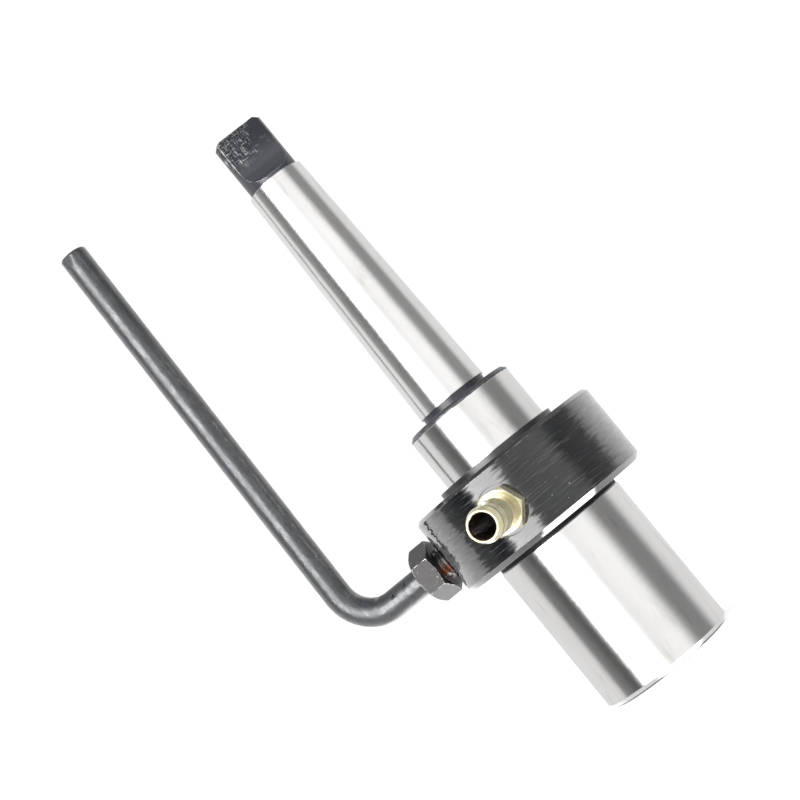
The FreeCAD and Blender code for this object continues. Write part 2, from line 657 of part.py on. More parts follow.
def make_screw(name, sign):
    """Clamp screw with a cup point inwards and a key socket outwards, its own Z away from the bore."""
    start = bore_radius + size["screw_retreat"]
    end = socket_radius - size["screw_sink"]
    radius = size["screw_diameter"] / 2
    cup = size["screw_cup_diameter"] / 2
    depth = size["screw_cup_depth"]
    bevel = size["screw_bevel"]
    blank = turned(name + "_blank", [
        (0, start + depth),
        (cup, start),
        (radius, start + depth),
        (radius, end - bevel),
        (radius - bevel, end),
        (0, end),
    ])
    key = hexagon(name + "_key", size["screw_key_size"], (end - start) / 2)
    key.setExpression("Placement.Base.z", ((start + end) / 2).text)
    screw = without(name, blank, [key])
    place(screw, turn=size["screw_turn"] * sign + SQUARE, shift=(0, 0, size["screw_height"]), tilt=SQUARE)
    return screw


def make_plunger():
    """Ejector plunger: guided by the corners of a hexagon, with a dimple below and a spigot above."""
    spigot = size["plunger_spigot_diameter"] / 2
    spigot_top = plunger_shoulder + size["plunger_spigot_length"]
    blank = turned("plunger_blank", [
        (0, plunger_bottom + size["plunger_dimple_depth"]),
        (size["plunger_dimple_diameter"] / 2, plunger_bottom),
        (plunger_radius, plunger_bottom),
        (plunger_radius, plunger_shoulder),
        (spigot, plunger_shoulder),
        (spigot, spigot_top),
        (0, spigot_top),
    ])
    flats = hexagon("plunger_flats_limit", (plunger_radius - size["plunger_flat_depth"]) * 2,
                    size["plunger_head_length"] + size["plunger_spigot_length"])
    flats.setExpression("Placement.Base.z", plunger_bottom.text)
    return shared("ejector_plunger", blank, flats)


def make_spring():
    """Ejector spring: round wire along a helix of short straight runs, with ends ground flat."""
    low = plunger_shoulder.value + size["spring_play"].value
    high = size["chamber_top"].value - size["spring_play"].value
    wire = size["spring_wire"].value
    radius = chamber_radius.value - size["spring_clearance"].value - wire / 2
    runs = int(round(size["spring_turns"].value * SPRING_SIDES))
    rise = (high - low) / runs
    spots = []
    for number in range(runs + 1):
        angle = 2 * math.pi * number / SPRING_SIDES
        spots.append(FreeCAD.Vector(radius * math.cos(angle), radius * math.sin(angle), low + rise * number))
    path = Part.makePolygon(spots)
    section = Part.Wire(Part.makeCircle(wire / 2, spots[0], spots[1] - spots[0]))
    sweep = Part.BRepOffsetAPI.MakePipeShell(path)
    sweep.setTransitionMode(1)
    sweep.add(section)
    sweep.build()
    sweep.makeSolid()
    limit = Part.makeCylinder(size["chamber_diameter"].value, high - low, FreeCAD.Vector(0, 0, low))
    spring = doc.addObject("Part::Feature", "ejector_spring")
    spring.Shape = sweep.shape().common(limit)
    return spring


def build():
    """Every piece of the arbor, by node name."""
    pieces = {
        "arbor_body": make_arbor(),
        "thrust_washer": make_washer(),
        "outer_circlip": make_outer_clip(),
        "coolant_ring": make_ring(),
        "upper_seal": make_seal("upper_seal", 1),
        "lower_seal": make_seal("lower_seal", -1),
        "hose_barb": make_barb(),
        "stop_rod": make_rod(),
        "jam_nut": make_nut(),
        "clamp_screw_right": make_screw("clamp_screw_right", -1),
        "clamp_screw_left": make_screw("clamp_screw_left", 1),
        "ejector_plunger": make_plunger(),
        "ejector_spring": make_spring(),
        "inner_circlip": make_inner_clip(),
    }
    for node, piece in pieces.items():
        piece.Label = node
    doc.recompute()
    return pieces


def check(pieces):
    """Stop unless every object computed and every piece is one valid solid."""
    for thing in doc.Objects:
        if "Invalid" in thing.State or "Error" in thing.State:
            raise RuntimeError(thing.Name + " did not compute: " + str(thing.State))
    for node, piece in pieces.items():
        shape = piece.Shape
        if shape.isNull() or not shape.isValid() or len(shape.Solids) != 1:
            raise RuntimeError(node + " is not one valid solid")


def report(pieces):
    """Print each piece's box and volume."""
    for node, piece in pieces.items():
        box = piece.Shape.BoundBox
        print("%-18s x %7.2f %7.2f  y %7.2f %7.2f  z %7.2f %7.2f  volume %9.1f" % (
            node, box.XMin, box.XMax, box.YMin, box.YMax, box.ZMin, box.ZMax, piece.Shape.Volume))


parts = build()
check(parts)
report(parts)
os.makedirs("parts", exist_ok=True)
for node_name, node_piece in parts.items():
    node_piece.Shape.exportStep("parts/" + node_name + ".step")
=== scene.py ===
"""Annular cutter arbor: the look of every piece, with a camera, a pale floor and soft studio light."""
import math

import bmesh
import bpy
from mathutils import Matrix, Vector, noise


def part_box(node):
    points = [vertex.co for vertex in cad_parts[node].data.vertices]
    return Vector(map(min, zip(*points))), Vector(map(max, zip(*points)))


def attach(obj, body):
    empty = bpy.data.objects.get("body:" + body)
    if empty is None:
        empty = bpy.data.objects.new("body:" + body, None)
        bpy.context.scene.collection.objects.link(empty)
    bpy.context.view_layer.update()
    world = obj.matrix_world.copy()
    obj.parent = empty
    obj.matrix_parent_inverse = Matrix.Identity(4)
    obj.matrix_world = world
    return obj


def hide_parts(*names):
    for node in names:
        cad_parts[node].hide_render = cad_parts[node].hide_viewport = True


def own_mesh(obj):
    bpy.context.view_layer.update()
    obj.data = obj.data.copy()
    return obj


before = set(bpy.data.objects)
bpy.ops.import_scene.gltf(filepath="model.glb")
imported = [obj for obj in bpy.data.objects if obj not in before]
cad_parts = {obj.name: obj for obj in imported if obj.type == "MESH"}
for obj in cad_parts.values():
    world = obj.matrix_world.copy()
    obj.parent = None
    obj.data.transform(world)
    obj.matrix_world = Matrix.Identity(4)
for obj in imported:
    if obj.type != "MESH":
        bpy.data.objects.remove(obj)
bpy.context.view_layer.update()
MM = 0.001
TURN = 2 * math.pi
X, Y, Z = range(3)
EVEN = (1, 1, 1)
WHITE = (1, 1, 1, 1)

# Places taken from the solids, in metres
RING_LOW, RING_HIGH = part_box("coolant_ring")
SPRING_LOW, SPRING_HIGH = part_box("ejector_spring")
ROD_LOW, ROD_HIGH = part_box("stop_rod")
NUT_LOW, NUT_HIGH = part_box("jam_nut")
RING_MIDDLE = (RING_LOW[Z] + RING_HIGH[Z]) / 2
ROD_HEIGHT = (NUT_LOW[Z] + NUT_HIGH[Z]) / 2

# Points on the arbor's axis, the barb's axis (along Y) and the axis of the rod's short leg (along X)
ARBOR_CENTRE = (0, 0, 0)
BARB_CENTRE = (0, 0, RING_MIDDLE)
ROD_CENTRE = (0, 0, ROD_HEIGHT)

# Heights where the arbor's black skin starts and ends, and how softly it does
NECK_FOOT = 75.3 * MM
NECK_TOP = 78.3 * MM
TANG_FOOT = 143.4 * MM
SKIN_EDGE = 0.2 * MM
SKIN_RAGGED = 0.4 * MM
TANG_TURN = math.radians(25)
# The tang's skin pales between these heights, a painted gradient of light that leaves it darker at the
# tip; its scratches start between these, and wear is heavier on one side of the middle
TANG_LIGHT_FADE = (154.0 * MM, 148.0 * MM)
SCRATCHED = (149.0 * MM, 151.5 * MM)
WORN_SIDE = (3.5 * MM, 1.5 * MM)

# Radii of the socket's end face, the ejector's chamber and the ring's two spot-faced seats
SOCKET_END_RADIUS = 15.5 * MM
CHAMBER_RADIUS = 5.3 * MM
BARB_SEAT_RADIUS = 6.4 * MM
ROD_SEAT_RADIUS = 7.1 * MM
ROD_SEAT_PLACE = -23.2 * MM

# The nut's bore, and its face towards the ring
NUT_BORE = 4.4 * MM
NUT_FACE = -27.60 * MM

# Hose barb: its bore's radius, where its ridged stem and its nose end, and the reach of the painted shade
# in its roots
BARB_BORE = 3.0 * MM
BARB_STEM_END = -27.6 * MM
BARB_NOSE_END = -39.9 * MM
BARB_ROOTS = (3.78 * MM, 3.70 * MM)

# Colours that aren't plain grey, linear
STAIN = (0.60, 0.52, 0.43, 1)
# the tang's skin at its tip and at its root: the two ends of a painted gradient of light
TANG_TIP_SHADED = (0.0045, 0.0065, 0.0105, 1)
TANG_ROOT_LIT = (0.034, 0.037, 0.043, 1)
RING_BLACK = (0.0045, 0.005, 0.006, 1)
ROD_BLACK = (0.009, 0.011, 0.014, 1)
ROD_RUBBED = (0.030, 0.034, 0.040, 1)
RUST = (0.36, 0.085, 0.018, 1)
NUT_DARK = (0.022, 0.020, 0.0195, 1)
NUT_PALE = (0.052, 0.047, 0.046, 1)
BRASS_DEEP = (0.58, 0.55, 0.31, 1)
BRASS_PALE = (0.66, 0.62, 0.42, 1)
OLIVE = (0.40, 0.40, 0.17, 1)
PINK = (0.66, 0.44, 0.38, 1)
BARB_ROOT_SHADE = (0.26, 0.15, 0.12, 1)
BORE_SHADE_BLACK = (0.010, 0.007, 0.005, 1)
BORE_BROWN = (0.16, 0.085, 0.045, 1)

# How fast an oiled skin's mirror rises towards a slanting view, and its brightness
RIM_POWER = 1.6
RIM_LEVEL = 0.85

# Cosines where a corner starts and ends to count as worn, and a face as level
WORN_CORNER = (0.995, 0.93)
LEVEL_FACE = (0.85, 0.97)

# Ejector spring: round wire on a smooth helix, with its ends ground flat
SPRING_RADIUS = 3.85 * MM
SPRING_WIRE = 1.1 * MM
SPRING_TURNS = 10
SPRING_STEPS = 36
SPRING_SIDES = 12

# Stop rod: one round bar, threaded at the ring, bent up once, with a flat pinched into its tip
ROD_RADIUS = 3.5 * MM
ROD_INSET = 0.006 * MM
ROD_BEND = 10.0 * MM
ROD_BEND_ANGLE = math.radians(91)
ROD_BEND_START = ROD_LOW[X] + ROD_BEND + ROD_RADIUS
ROD_SIDES = 64
ROD_STEP = 0.4 * MM
ROD_TIP_BEVEL = 0.4 * MM
FLAT_LENGTH = 3.6 * MM
FLAT_SLOPE = math.radians(9.5)
FLAT_TURN = math.radians(102)
FLAT_REACH = 0.2

# Mottled skin: its deepest pit, features per metre, and the noise's fall, step, octaves and shift
SKIN_DEPTH = 0.035 * MM
SKIN_SCALE = 900
SKIN_NOISE = (0.6, 2.1, 4)
SKIN_SHIFT = 0.35

# Thread; the crest and the flanks are shares of its pitch
THREAD_END = -33.2 * MM
THREAD_PITCH = 1.25 * MM
THREAD_CREST = 3.99 * MM
THREAD_ROOT = 3.28 * MM
THREAD_RUNOUT = 1.0 * MM
THREAD_STEPS = 14
HALF_CREST = 0.07
FLANK = 0.36

# Where the rod's streaks turn with the bend, and where rust lies: reach from the thread's axis, and height
STREAK_TURN = (-47.5 * MM, -45.5 * MM)
RUST_REACH = (3.85 * MM, 3.45 * MM)
RUST_HEIGHT = (ROD_HEIGHT + 1.2 * MM, ROD_HEIGHT - 0.8 * MM)

THREAD_LENGTH = ROD_HIGH[X] - THREAD_END
SHORT_LEG = ROD_HIGH[X] - ROD_BEND_START
BEND_LENGTH = ROD_BEND * ROD_BEND_ANGLE
LEAN = ROD_BEND_ANGLE - math.pi / 2
LEG_FOOT = ROD_HEIGHT + ROD_BEND + ROD_BEND * math.sin(LEAN)
LONG_LEG = (ROD_HIGH[Z] - LEG_FOOT - ROD_RADIUS * math.sin(LEAN)) / math.cos(LEAN)
ROD_LENGTH = SHORT_LEG + BEND_LENGTH + LONG_LEG

# Marks on the bar: (distance from the inner end, turn from the bend's inner side, length, width, depth)
ROD_HOLES = [
    (23.9 * MM, math.radians(59), 0.55 * MM, 0.42 * MM, 0.30 * MM),
    (19.9 * MM, math.radians(52), 0.60 * MM, 0.45 * MM, 0.32 * MM),
]
ROD_DENTS = [
    (29.6 * MM, math.radians(8), 0.50 * MM, 1.60 * MM, 0.40 * MM),
    (37.4 * MM, math.radians(-6), 0.60 * MM, 0.90 * MM, 0.40 * MM),
]

# Camera: distance and aim in metres, turned so that the shank leans up and to the left
CAMERA_DISTANCE = 0.4548
CAMERA_AZIMUTH = math.radians(16.806)
CAMERA_HEIGHT = 0.04879
CAMERA_TILT = 0.08046
CAMERA_PAN = -0.02138
CAMERA_ROLL = math.radians(-39.255)
FOCAL_PIXELS = 1975.1
FRAME_PIXELS = 800
SENSOR = 36

# Brightness round the horizon as polished steel shows it: (degrees right of the camera, level)
HORIZON = [
    (-180, 0.80), (-104, 0.80), (-96, 0.72), (-90, 0.24), (-78, 0.17), (-66, 0.07), (-59, 0.07),
    (-55, 0.35), (-51, 2.0), (-47, 7.8), (-18, 8.0), (-12, 4.0), (-8, 1.3), (0, 0.92), (20, 1.05),
    (38, 1.05), (46, 0.86), (53, 0.50), (60, 0.27), (70, 0.235), (90, 0.24), (97, 0.42), (105, 0.70),
    (116, 0.78), (180, 0.80),
]
# Height of the bands' middle, and how far above and below it they fade
BAND_HEIGHT = 0.20
BAND_FADE = (0.33, 0.55)
# Even level outside the bands, from low directions to high ones
EVEN_FROM = (-0.2, 0.4)
EVEN_LEVEL = (0.75, 0.22)
# Bright patches under the part: (across, behind, outer radius, inner radius, level)
PATCHES = [
    (0.14, 0.12, 0.34, 0.25, 9.0),
    (-0.05, 0.66, 0.40, 0.20, 1.6),
]
PATCHES_BELOW = -0.1
BACKDROP_LEVEL = 1.05

LAMP_SIZE = 1.2
LAMP_POWER = 14
LAMP_PLACE = (-0.25, -0.35, 1.2)
LAMP_AIM = (0, 0, 0.05)
FLOOR_RADIUS = 12
FLOOR_SIDES = 64
FLOOR_GLOW = 0.55


class Nodes:
    """Short calls for building the node tree of a material or a world."""

    def __init__(self, owner, place, output):
        owner.use_nodes = True
        self.owner = owner
        self.tree = owner.node_tree
        self.tree.nodes.clear()
        self.output = self.add(output).inputs["Surface"]
        self.place = self.add("ShaderNodeTexCoord").outputs[place]

    def add(self, kind, **values):
        node = self.tree.nodes.new(kind)
        for key, value in values.items():
            setattr(node, key, value)
        return node

    def feed(self, socket, value):
        """Link a socket to another one, or set it to a plain value."""
        if hasattr(value, "is_output"):
            self.tree.links.new(value, socket)
        else:
            socket.default_value = value

    def feed_all(self, node, *values):
        for socket, value in zip(node.inputs, values):
            self.feed(socket, value)
        return node.outputs[0]

    def math(self, operation, *values):
        return self.feed_all(self.add("ShaderNodeMath", operation=operation), *values)

    def times(self, first, second):
        return self.math("MULTIPLY", first, second)

    def most(self, first, second):
        return self.math("MAXIMUM", first, second)

    def vector(self, operation, *values):
        node = self.add("ShaderNodeVectorMath", operation=operation)
        self.feed_all(node, *values)
        return node.outputs["Value" if operation in ("DOT_PRODUCT", "LENGTH") else "Vector"]

    def part(self, value, axis):
        """One of a vector's three numbers."""
        node = self.add("ShaderNodeSeparateXYZ")
        self.feed(node.inputs[0], value)
        return node.outputs[axis]

    def join(self, across, along, up):
        return self.feed_all(self.add("ShaderNodeCombineXYZ"), across, along, up)

    def step(self, value, start, end):
        """0 before start and 1 past end, smooth between; end may be the lower of the two."""
        node = self.add("ShaderNodeMapRange", interpolation_type="SMOOTHSTEP")
        self.feed_all(node, value, start, end)
        return node.outputs["Result"]

    def span(self, value, low, high, start=0.0, end=1.0):
        """Low before start and high past end, with a straight run between."""
        node = self.add("ShaderNodeMapRange")
        self.feed_all(node, value, start, end, low, high)
        return node.outputs["Result"]

    def noise(self, scale, stretch=EVEN, detail=2.0, rough=0.5, shift=(0, 0, 0), place=None):
        """Noise over the object; scale is features per metre, stretch per axis."""
        mapping = self.add("ShaderNodeMapping")
        self.feed(mapping.inputs["Vector"], self.place if place is None else place)
        mapping.inputs["Scale"].default_value = stretch
        mapping.inputs["Location"].default_value = shift
        node = self.add("ShaderNodeTexNoise")
        self.tree.links.new(mapping.outputs[0], node.inputs["Vector"])
        node.inputs["Scale"].default_value = scale
        node.inputs["Detail"].default_value = detail
        node.inputs["Roughness"].default_value = rough
        return node.outputs["Fac"]

    def spots(self, low, high, *noise_values):
        """Spots where the noise lies above low, full from high on."""
        return self.step(self.noise(*noise_values), low, high)

    def mix(self, factor, first, second):
        """Blend of two colours."""
        node = self.add("ShaderNodeMix", data_type="RGBA")
        self.feed(node.inputs["Factor"], factor)
        self.feed(node.inputs[6], first)
        self.feed(node.inputs[7], second)
        return node.outputs[2]

    def blend(self, factor, first, second):
        """Blend of two numbers."""
        node = self.add("ShaderNodeMix", data_type="FLOAT")
        self.feed(node.inputs["Factor"], factor)
        self.feed(node.inputs[2], first)
        self.feed(node.inputs[3], second)
        return node.outputs[0]

    def bump(self, height, depth, normal=None):
        """Bump whose height runs from 0 to depth metres."""
        return self.shader("ShaderNodeBump", {
            "Strength": 1.0, "Distance": depth, "Height": height, "Normal": normal})

    def rounded(self, radius):
        """Normals that round each edge by a small radius."""
        node = self.add("ShaderNodeBevel", samples=6)
        node.inputs["Radius"].default_value = radius
        return node.outputs[0]

    def face_normal(self):
        return self.add("ShaderNodeNewGeometry").outputs["Normal"]

    def edge(self, radius):
        """1 on the worn corners of a piece, 0 on its faces."""
        match = self.vector("DOT_PRODUCT", self.rounded(radius), self.face_normal())
        return self.step(match, *WORN_CORNER)

    def level(self):
        """1 on faces that lie level and look up, 0 on the rest."""
        return self.step(self.part(self.face_normal(), Z), *LEVEL_FACE)

    def from_axis(self, centre, axis):
        """Distance from a line along one of the three axes."""
        keep = [0.0 if index == axis else 1.0 for index in range(3)]
        offset = self.vector("SUBTRACT", self.place, centre)
        return self.vector("LENGTH", self.vector("MULTIPLY", offset, keep))

    def around(self, strength, scale, up, normal):
        """Normals swayed round the Z axis, each turning line by its own small angle."""
        away = self.vector("CROSS_PRODUCT", (0, 0, 1), normal)
        sway = self.math("SUBTRACT", self.noise(scale, (1, 1, up), 3.0, 0.6), 0.5)
        sway = self.times(sway, strength)
        moved = self.vector("ADD", normal, self.vector("MULTIPLY", away, self.join(sway, sway, sway)))
        return self.vector("NORMALIZE", moved)

    def shader(self, kind, values):
        """A node with its inputs set by name; None leaves an input as it is."""
        node = self.add(kind)
        for name, value in values.items():
            if value is not None:
                self.feed(node.inputs[name], value)
        return node.outputs[0]

    def finish(self, shader):
        self.tree.links.new(shader, self.output)
        return self.owner

    def surface(self, colour, rough, metal, normal=None, ior=1.5, coat=0.0, coat_rough=0.03, rim=0.0):
        """Principled surface; rim is how strongly an oiled skin mirrors where it is seen at a slant."""
        top = self.shader("ShaderNodeBsdfPrincipled", {
            "Base Color": colour, "Roughness": rough, "Metallic": metal, "IOR": ior,
            "Coat Weight": coat, "Coat Roughness": coat_rough, "Normal": normal})
        if rim != 0.0:
            mirror = self.shader("ShaderNodeBsdfAnisotropic", {
                "Color": grey(RIM_LEVEL), "Roughness": rough, "Normal": normal})
            facing = self.add("ShaderNodeLayerWeight")
            facing.inputs["Blend"].default_value = 0.5
            if normal is not None:
                self.feed(facing.inputs["Normal"], normal)
            slant = self.math("POWER", facing.outputs["Facing"], RIM_POWER)
            top = self.feed_all(self.add("ShaderNodeMixShader"), self.times(slant, rim), top, mirror)
        return self.finish(top)


def material_nodes(name):
    return Nodes(bpy.data.materials.new(name), "Object", "ShaderNodeOutputMaterial")


def grey(value, warm=0.0):
    return (value * (1 + warm), value, value * (1 - warm), 1)


def steel_material():
    """Ground steel; the tang, the neck and the journal's top bevel are black."""
    n = material_nodes("ground_bright_steel")
    z = n.part(n.place, Z)
    reach = n.from_axis(ARBOR_CENTRE, Z)
    swayed = n.around(0.05, 260, 14, n.rounded(0.15 * MM))
    lines = n.noise(900, (0.06, 0.06, 3.5), 3.0, 0.65)
    ground = n.bump(lines, 0.004 * MM, swayed)
    grain = n.noise(2300, EVEN, 2.0, 0.6, (8, 2, 6))
    ground = n.bump(grain, 0.006 * MM, ground)
    soft = n.noise(120, (1, 1, 0.35), 3.0, 0.55, (3, 1, 2))
    tone = n.mix(soft, grey(0.78, 0.014), grey(0.93, 0.006))
    stain = n.spots(0.54, 0.72, 330, (1, 1, 0.25), 4.0, 0.6, (9, 4, 1))
    tone = n.mix(n.times(stain, 0.28), tone, STAIN)
    pits = n.spots(0.695, 0.725, 1500, EVEN, 4.0, 0.6)
    tone = n.mix(n.times(pits, 0.75), tone, grey(0.12))
    # the taper is a little less mirror-like than the rest
    duller = n.times(n.step(z, NECK_TOP, NECK_TOP + 0.2 * MM), 0.05)
    # painted shade: a thin dark line round the socket's end face, so that its bright bevel stands apart
    # from the floor
    end_line = n.step(z, 0.42 * MM, 0.2 * MM)
    painted_edge_shade = n.times(end_line, n.step(reach, SOCKET_END_RADIUS, SOCKET_END_RADIUS + 0.15 * MM))
    tone = n.mix(n.times(painted_edge_shade, 0.96), tone, grey(0.03))
    # black oxide above the small end of the taper, in the neck and on the bevel below it
    ragged = n.math("SUBTRACT", n.noise(700, EVEN, 3.0), 0.5)
    height = n.math("ADD", z, n.times(ragged, SKIN_RAGGED))
    tang = n.step(height, TANG_FOOT, TANG_FOOT + SKIN_EDGE)
    neck = n.times(n.step(height, NECK_FOOT, NECK_FOOT + SKIN_EDGE),
                   n.step(z, NECK_TOP + 0.05 * MM, NECK_TOP))
    # the ejector's chamber stays dark below the tang
    chamber = n.step(reach, CHAMBER_RADIUS + 0.3 * MM, CHAMBER_RADIUS)
    chamber = n.times(chamber, n.math("SUBTRACT", 1.0, tang))
    black = n.most(n.most(tang, neck), chamber)
    # scratches along and across the tang's flats, thickest towards one side and the tip
    across = n.vector("DOT_PRODUCT", n.place, (math.cos(TANG_TURN), math.sin(TANG_TURN), 0))
    flat = n.join(across, 0.0, z)
    up_marks = n.spots(0.570, 0.640, 2100, (2.2, 1, 0.24), 2.0, 0.5, (1, 5, 2), flat)
    side_marks = n.spots(0.575, 0.640, 2100, (0.22, 1, 2.4), 2.0, 0.5, (4, 2, 7), flat)
    cloud = n.noise(260, EVEN, 2.0, 0.5, (2, 2, 4), flat)
    busy = n.step(n.math("MULTIPLY_ADD", across, -35.0, cloud), 0.36, 0.75)
    busy = n.times(busy, n.step(z, *SCRATCHED))
    faint = n.spots(0.25, 0.60, 900, EVEN, 3.0, 0.6, (2, 2, 2))
    scratch = n.times(n.times(n.most(up_marks, side_marks), busy), n.times(faint, 0.65))
    # worn corners, more so on the side of the scratches
    worn = n.times(n.edge(0.22 * MM), n.spots(0.36, 0.60, 620, EVEN, 3.0, 0.6, (6, 2, 2)))
    left = n.step(across, *WORN_SIDE)
    wear = n.most(n.times(worn, n.blend(left, 0.25, 0.8)), scratch)
    # painted light: the skin is darker at the tip and paler towards the root
    skin = n.mix(n.step(z, *TANG_LIGHT_FADE), TANG_TIP_SHADED, TANG_ROOT_LIT)
    colour = n.mix(black, tone, n.mix(wear, skin, grey(0.70)))
    metal = n.blend(black, n.math("SUBTRACT", 1.0, duller), wear)
    rough = n.blend(black, n.blend(soft, 0.13, 0.20), n.blend(soft, 0.22, 0.34))
    return n.surface(colour, rough, metal, ground)


def ring_material():
    """Black oxide over fine turning lines, glossy, with ragged reflections and a few nicks."""
    n = material_nodes("black_turned_ring")
    x = n.part(n.place, X)
    swayed = n.around(0.24, 260, 6, n.rounded(0.10 * MM))
    lines = n.noise(1100, (0.05, 0.05, 4.0), 3.0, 0.7)
    turned = n.bump(lines, 0.0006 * MM, swayed)
    # worn corners, but not round the barb's seat
    clear = n.step(n.from_axis(BARB_CENTRE, Y), BARB_SEAT_RADIUS, BARB_SEAT_RADIUS + 0.4 * MM)
    worn = n.times(n.times(n.edge(0.24 * MM), n.spots(0.44, 0.60, 420, EVEN, 3.0, 0.6)), clear)
    line_wear = n.spots(0.50, 0.80, 1100, (0.12, 0.12, 2.5), 3.0, 0.6, (5, 3, 0))
    specks = n.spots(0.725, 0.745, 1500, EVEN, 3.0, 0.5, (7, 7, 1))
    wear = n.most(n.times(worn, 0.6), n.times(line_wear, 0.09))
    wear = n.most(wear, n.times(specks, 0.6))
    # the rod's spot-faced seat and the level faces are dull
    rod_seat = n.times(n.step(n.from_axis(ROD_CENTRE, X), ROD_SEAT_RADIUS + 0.6 * MM, ROD_SEAT_RADIUS),
                       n.step(x, ROD_SEAT_PLACE, ROD_SEAT_PLACE - 0.4 * MM))
    dull = n.most(rod_seat, n.level())
    colour = n.mix(wear, RING_BLACK, grey(0.62))
    rough = n.blend(dull, n.blend(n.noise(90, (1, 1, 3)), 0.03, 0.06), 0.5)
    return n.surface(colour, rough, wear, turned, ior=1.66, rim=n.blend(dull, 1.0, 0.12))


def rod_material():
    """Mottled black oxide, worn grey along the bar; oiled black thread with rust in its roots."""
    n = material_nodes("mottled_black_rod")
    x = n.part(n.place, X)
    z = n.part(n.place, Z)
    fine = n.noise(1700, (1, 1, 0.7), 4.0, 0.65)
    blotch = n.noise(700, (1, 1, 0.5), 5.0, 0.7, (2, 8, 3))
    short_leg = n.step(x, *STREAK_TURN)
    streak = n.blend(short_leg, n.noise(1000, (1, 1, 0.05), 3.0, 0.6, (6, 1, 4)),
                     n.noise(1000, (0.05, 1, 1), 3.0, 0.6, (1, 4, 6)))
    rubbed = n.step(n.math("MULTIPLY_ADD", blotch, 0.65, n.times(streak, 0.35)), 0.44, 0.60)
    specks = n.spots(0.66, 0.72, 2100, (1, 1, 0.6), 3.0, 0.6, (3, 3, 8))
    height = n.math("MULTIPLY_ADD", fine, 0.55, n.times(blotch, 0.45))
    normal = n.bump(height, 0.085 * MM, n.rounded(0.08 * MM))
    tone = n.mix(rubbed, ROD_BLACK, ROD_RUBBED)
    tone = n.mix(n.times(specks, 0.35), tone, grey(0.22))
    # painted shade in the two holes: their mouths are near black, rough and fully metallic, so they mirror
    # almost nothing
    hole_shade = 0.0
    for hole in ROD_HOLES:
        distance, turn, length = hole[:3]
        centre, inner = rod_frame(distance)
        mouth = tuple(centre + spoke(inner, turn) * ROD_RADIUS)
        away = n.vector("LENGTH", n.vector("SUBTRACT", n.place, mouth))
        hole_shade = n.most(hole_shade, n.step(away, length * 1.2, length * 0.7))
    tone = n.mix(hole_shade, tone, grey(0.004))
    rough = n.blend(hole_shade, n.blend(rubbed, 0.42, 0.26), 0.9)
    # rust lies low in the thread's roots
    threaded = n.step(x, THREAD_END, THREAD_END + 0.2 * MM)
    root = n.step(n.from_axis(ROD_CENTRE, X), *RUST_REACH)
    patch = n.spots(0.44, 0.58, 520, EVEN, 3.0, 0.6, (3, 3, 3))
    low_side = n.step(z, *RUST_HEIGHT)
    rust = n.times(n.times(patch, n.blend(root, 0.10, 0.80)), n.times(threaded, low_side))
    tone = n.mix(n.times(threaded, 0.9), tone, grey(0.012))
    tone = n.mix(rust, tone, RUST)
    rough = n.blend(threaded, rough, 0.22)
    rim = n.blend(n.level(), 0.6, 0.1)
    return n.surface(tone, rough, hole_shade, normal, ior=1.8, coat=0.15, coat_rough=0.22, rim=rim)


def nut_material():
    """Black oxide nut with pale worn corners and faintly reddish faces."""
    n = material_nodes("worn_black_nut")
    x = n.part(n.place, X)
    fine = n.noise(2200, EVEN, 4.0, 0.6)
    normal = n.bump(fine, 0.012 * MM, n.rounded(0.2 * MM))
    worn = n.times(n.edge(0.28 * MM), n.spots(0.40, 0.58, 900, EVEN, 3.0, 0.6))
    specks = n.spots(0.70, 0.74, 2600, EVEN, 3.0, 0.5, (4, 4, 4))
    wear = n.most(worn, n.times(specks, 0.6))
    cloud = n.noise(520, EVEN, 4.0, 0.6, (1, 1, 9))
    face = n.mix(cloud, NUT_DARK, NUT_PALE)
    # painted shade: its bore and its face towards the ring, in the gap, are painted near black
    bore = n.step(n.from_axis(ROD_CENTRE, X), NUT_BORE + 0.3 * MM, NUT_BORE)
    ring_side = n.step(x, NUT_FACE, NUT_FACE + 0.15 * MM)
    face = n.mix(n.most(bore, ring_side), face, grey(0.005))
    colour = n.mix(wear, face, grey(0.72, 0.02))
    return n.surface(colour, n.blend(wear, 0.42, 0.25), wear, normal, ior=1.4, rim=0.3)


def brass_material():
    """Pale yellow plated brass, satin, with pink and olive tints; painted shade in the roots between its
    ridges and inside its bore, which is near black with brown arcs.
    """
    n = material_nodes("pale_yellow_brass")
    y = n.part(n.place, Y)
    reach = n.from_axis(BARB_CENTRE, Y)
    fine = n.noise(1400, (1, 0.3, 1), 3.0, 0.55)
    normal = n.bump(fine, 0.010 * MM, n.rounded(0.12 * MM))
    tint = n.noise(330)
    tone = n.mix(n.step(tint, 0.35, 0.65), BRASS_DEEP, BRASS_PALE)
    olive = n.spots(0.55, 0.72, 260, EVEN, 2.0, 0.5, (5, 1, 8))
    tone = n.mix(n.times(olive, 0.55), tone, OLIVE)
    pink = n.spots(0.58, 0.74, 420, EVEN, 2.0, 0.5, (1, 9, 2))
    tone = n.mix(n.times(pink, 0.5), tone, PINK)
    # painted shade in the roots between the ridges, dark with a pinkish tint
    stem = n.math("SUBTRACT", n.step(y, BARB_NOSE_END, BARB_NOSE_END + 0.05 * MM),
                  n.step(y, BARB_STEM_END, BARB_STEM_END + 0.2 * MM))
    root = n.times(stem, n.step(reach, *BARB_ROOTS))
    tone = n.mix(n.times(root, 0.65), tone, BARB_ROOT_SHADE)
    # painted shade inside the bore: near black with faint brown arcs, rougher and less metallic
    bore = n.step(reach, BARB_BORE + 0.06 * MM, BARB_BORE + 0.02 * MM)
    arcs = n.spots(0.48, 0.68, 700, (1, 3.0, 1), 2.0, 0.5, (2, 2, 5))
    inside = n.mix(arcs, BORE_SHADE_BLACK, BORE_BROWN)
    colour = n.mix(bore, tone, inside)
    rough = n.blend(bore, n.span(tint, 0.16, 0.26), 0.4)
    return n.surface(colour, rough, n.blend(bore, 0.62, 0.3), normal, coat=0.35, coat_rough=0.06)


